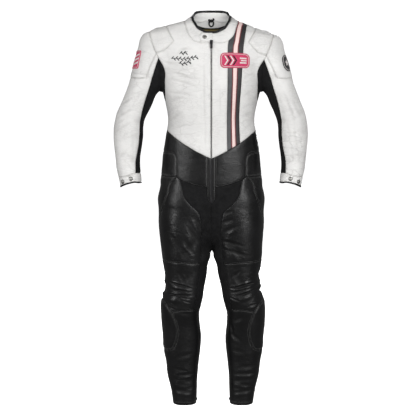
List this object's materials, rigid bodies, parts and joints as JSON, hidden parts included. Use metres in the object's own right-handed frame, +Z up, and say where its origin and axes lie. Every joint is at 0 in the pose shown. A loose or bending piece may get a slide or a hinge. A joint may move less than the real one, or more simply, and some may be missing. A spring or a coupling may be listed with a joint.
{
  "type": "one-piece motorcycle race suit",
  "caption": "Worn-shape one-piece motorcycle race suit of leather and stretch panels, hollow and open at neck, cuffs and hems, with raised pads, front zip and low snap collar.",
  "frame": {"origin": "centre of the wearer's shoulder line, 1.430 m above the leg hems, where the suit is held up", "axes": "+Z up, -Y the front of the suit, +X the wearer's left"},
  "size_m": [0.7325, 0.2654, 1.4971],
  "materials": {
    "binding": "folded leather edge binding, semi-gloss",
    "black_leather": "smooth grained cowhide, semi-gloss",
    "black_patch": "embroidered twill with a plain ring and star, matt",
    "crimson_patch": "embroidered twill with plain bars, matt",
    "dark_metal": "blackened metal, satin",
    "grey_leather": "smooth dyed leather, semi-gloss",
    "lining_cloth": "twill lining cloth with a gold band, matt",
    "pink_leather": "smooth pale pink dyed leather, semi-gloss",
    "stretch_cloth": "woven stretch cloth, matt",
    "white_leather": "smooth grained cowhide, semi-gloss, creased"
  },
  "bodies": {
    "suit": {"arm_pad_L": "white_leather", "arm_pad_R": "white_leather", "back": "white_leather", "calf_L": "black_leather", "calf_R": "black_leather", "chest_patch": "crimson_patch", "collar": "white_leather", "collar_binding": "binding", "collar_snap_R": "dark_metal", "crotch_L": "stretch_cloth", "crotch_R": "stretch_cloth", "cuff_L": "white_leather", "cuff_R": "white_leather", "cuff_binding_L": "binding", "cuff_binding_R": "binding", "cuff_snap_front_L": "dark_metal", "cuff_snap_front_R": "dark_metal", "cuff_snap_side_L": "dark_metal", "cuff_snap_side_R": "dark_metal", "front_R": "white_leather", "front_inner_L": "white_leather", "front_outer_L": "white_leather", "hanger_loop": "binding", "hip_pad_lower_L": "black_leather", "hip_pad_lower_R": "black_leather", "hip_pad_upper_L": "black_leather", "hip_pad_upper_R": "black_leather", "knee_L": "black_leather", "knee_R": "black_leather", "knee_slider_pad_L": "black_leather", "knee_slider_pad_R": "black_leather", "neck_lining": "lining_cloth", "placket_L": "black_leather", "placket_R": "black_leather", "shin_L": "black_leather", "shin_R": "black_leather", "shoulder_pad_L": "white_leather", "shoulder_pad_R": "white_leather", "sleeve_inner_L": "stretch_cloth", "sleeve_inner_R": "stretch_cloth", "sleeve_outer_L": "white_leather", "sleeve_outer_R": "white_leather", "sleeve_patch_L": "black_patch", "sleeve_patch_R": "crimson_patch", "stripe_inner_L": "grey_leather", "stripe_middle_L": "pink_leather", "stripe_outer_L": "grey_leather", "thigh_back_L": "black_leather", "thigh_back_R": "black_leather", "thigh_front_L": "black_leather", "thigh_front_R": "black_leather", "underarm_L": "stretch_cloth", "underarm_R": "stretch_cloth", "waist_back": "black_leather", "waist_front_L": "black_leather", "waist_front_R": "black_leather", "zip_slider": "dark_metal", "zip_tape": "stretch_cloth"},
    "zip_pull": {"zip_pull": "dark_metal"}
  },
  "joints": [
    {"name": "zip_pull_hinge", "type": "hinge", "parent": "suit", "child": "zip_pull", "pos_m": [0, -0.10947, -0.05503], "axis": [1, 0, 0], "range_deg": [-120, 0]}
  ]
}
